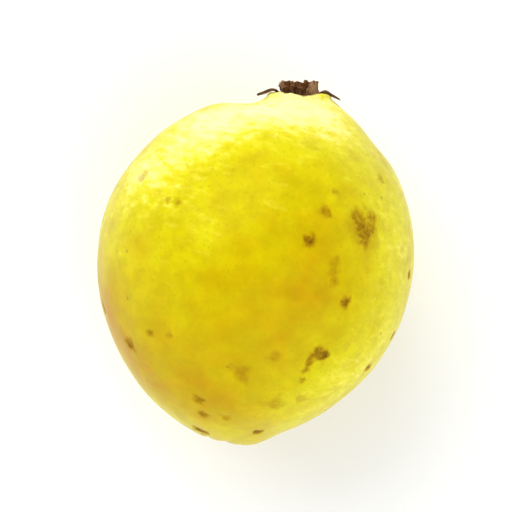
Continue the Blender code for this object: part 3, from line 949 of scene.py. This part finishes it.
bmesh.ops.transform(stub, matrix=STEM_SEAT, verts=stub.verts)

# Bark and bare wood have no gloss. The wood's colour goes from its pith outwards
dry_wood, tree, shader, millimetres = new_material("dry stem wood and bark", 0.85)
shader.inputs["Specular IOR Level"].default_value = 0.15
noise_space = {"Vector": millimetres, "Roughness": NOISE_ROUGHNESS}
place = add_node(tree, "Attribute", {}, attribute_name="stub_place").outputs["Vector"]
from_axis = add_node(tree, "SeparateXYZ", {"Vector": place}).outputs["X"]
fibre = add_node(tree, "TexNoise", {**noise_space, "Scale": 1 / 0.16, "Detail": 3})
bark_noise = add_node(tree, "TexNoise", {**noise_space, "Scale": 1 / 0.45, "Detail": 4})
bark = layered(tree, "#332010", [(bark_noise, 0.35, 0.65, 0, 1, "#79552c")])
pith_edge = PITH_RADIUS / MM * 1.3
pith_middle = PITH_RADIUS / MM * 0.8
bark_inside = (STUB_RADIUS - 1.3 * BARK_THICKNESS) / MM
bark_outside = (STUB_RADIUS - 0.8 * BARK_THICKNESS) / MM
wood_layers = (
    (fibre, 0.35, 0.65, 0, 1, "#cdab78"),
    (from_axis, pith_edge, pith_middle, 0, 1, "#4e3216"),
    (from_axis, bark_inside, bark_outside, 0, 1, bark),
)
tree.links.new(layered(tree, "#8d6a3c", wood_layers), shader.inputs["Base Color"])
splinters = add_node(tree, "Bump", {"Height": fibre, "Strength": 0.6, "Distance": 0.06 * MM})
tree.links.new(splinters.outputs["Normal"], shader.inputs["Normal"])

finish_piece(stub, "guava_stem_stub", [dry_wood], "stem_stub")


# The studio: a plain pale table top, a soft key and a low light from the calyx side, a fill from the stem
# side, and a white room that is brighter low down than overhead. The camera looks straight down, as the
# photograph does, turned so that the fruit's axis leans to the right.

FLOOR_SIZE = 4.0
floor_mesh = bmesh.new()
bmesh.ops.create_grid(floor_mesh, x_segments=1, y_segments=1, size=FLOOR_SIZE / 2)
floor_data = bpy.data.meshes.new("floor")
floor_mesh.to_mesh(floor_data)
floor_mesh.free()
floor = bpy.data.objects.new("floor", floor_data)
bpy.context.scene.collection.objects.link(floor)
table_top, tree, shader, millimetres = new_material("matt white table top", 0.7)
shader.inputs["Base Color"].default_value = linear("#fbfcff")
floor_data.materials.append(table_top)

world = bpy.data.worlds.new("white room")
world.use_nodes = True
tree = world.node_tree
towards = add_node(tree, "SeparateXYZ", {"Vector": add_node(tree, "TexCoord", {}).outputs["Generated"]})
low_to_high = {"From Min": 0.35, "From Max": 0.95, "To Min": 1.05, "To Max": 0.45}
brightness = add_node(tree, "MapRange", {"Value": towards.outputs["Z"], **low_to_high})
tree.links.new(brightness.outputs["Result"], tree.nodes["Background"].inputs["Strength"])
tree.nodes["Background"].inputs["Color"].default_value = (1, 1, 1, 1)
bpy.context.scene.world = world


def soft_light(name, watts, width, height, place):
    """A softbox that faces the fruit's middle, placed right of, above and over it, in metres."""
    data = bpy.data.lights.new(name, "AREA")
    data.shape = "RECTANGLE"
    data.energy = watts
    data.size = width
    data.size_y = height
    light = bpy.data.objects.new(name, data)
    light.location = Matrix.Rotation(AXIS_LEAN, 3, "Z") @ Vector(place) + Vector((0, 0, BODY_RADIUS))
    aim = Vector((0, 0, BODY_RADIUS)) - light.location
    light.rotation_euler = aim.to_track_quat("-Z", "Y").to_euler()
    bpy.context.scene.collection.objects.link(light)


soft_light("key", 2.5, 0.7, 0.5, (-0.25, 0.40, 0.50))
soft_light("low back light", 0.17, 0.6, 0.12, (-0.05, 0.45, 0.10))
soft_light("fill", 2.3, 0.9, 0.9, (0.25, -0.45, 0.50))

camera_data = bpy.data.cameras.new("camera")
camera_data.lens = LENS
camera_data.sensor_width = SENSOR
camera = bpy.data.objects.new("camera", camera_data)
camera.location = EYE
camera.rotation_euler = (0, 0, AXIS_LEAN)
bpy.context.scene.collection.objects.link(camera)
bpy.context.scene.camera = camera
bpy.context.scene.view_settings.view_transform = "Standard"
